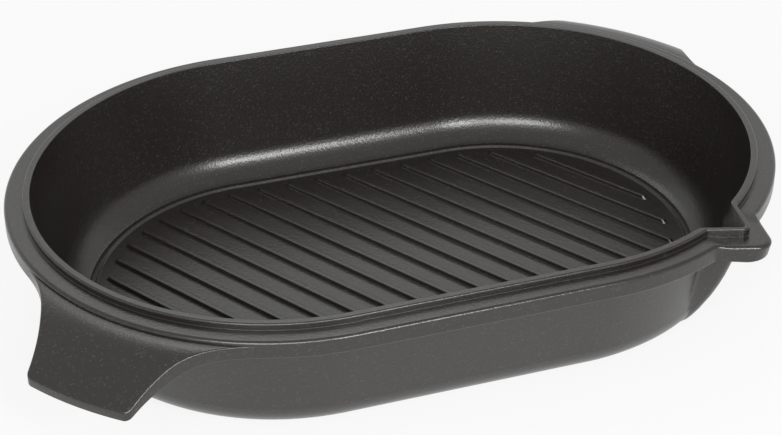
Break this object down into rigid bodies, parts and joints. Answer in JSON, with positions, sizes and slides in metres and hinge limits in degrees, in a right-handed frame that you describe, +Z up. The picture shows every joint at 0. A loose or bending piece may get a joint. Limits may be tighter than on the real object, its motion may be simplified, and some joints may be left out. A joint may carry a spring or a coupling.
{
  "type": "grill pan",
  "caption": "Oval cast grill pan with a ribbed floor, raised lid lip, V pouring spout and turned-down plate handles set on a diagonal.",
  "frame": {"origin": "centre of the flat resting face under the base", "axes": "+X along the oval's length, +Z up out of the bowl, the spout points to +X -Y and the handles lie on the +X +Y to -X -Y diagonal"},
  "size_m": [0.3936, 0.2636, 0.0699],
  "materials": {
    "coating": "cast metal under a dark grey, finely speckled satin non-stick coating"
  },
  "bodies": {
    "root": {"base_plate": "coating", "floor_bead": "coating", "wall_foot": "coating", "bowl_wall": "coating", "rim_flange": "coating", "raised_lip": "coating", "pour_spout": "coating", "handle_back_right": "coating", "handle_front_left": "coating", "grill_rib_01": "coating", "grill_rib_02": "coating", "grill_rib_03": "coating", "grill_rib_04": "coating", "grill_rib_05": "coating", "grill_rib_06": "coating", "grill_rib_07": "coating", "grill_rib_08": "coating", "grill_rib_09": "coating", "grill_rib_10": "coating", "grill_rib_11": "coating", "grill_rib_12": "coating", "grill_rib_13": "coating", "grill_rib_14": "coating", "grill_rib_15": "coating", "grill_rib_16": "coating", "grill_rib_17": "coating", "grill_rib_18": "coating", "grill_rib_19": "coating", "grill_rib_20": "coating"}
  },
  "joints": []
}
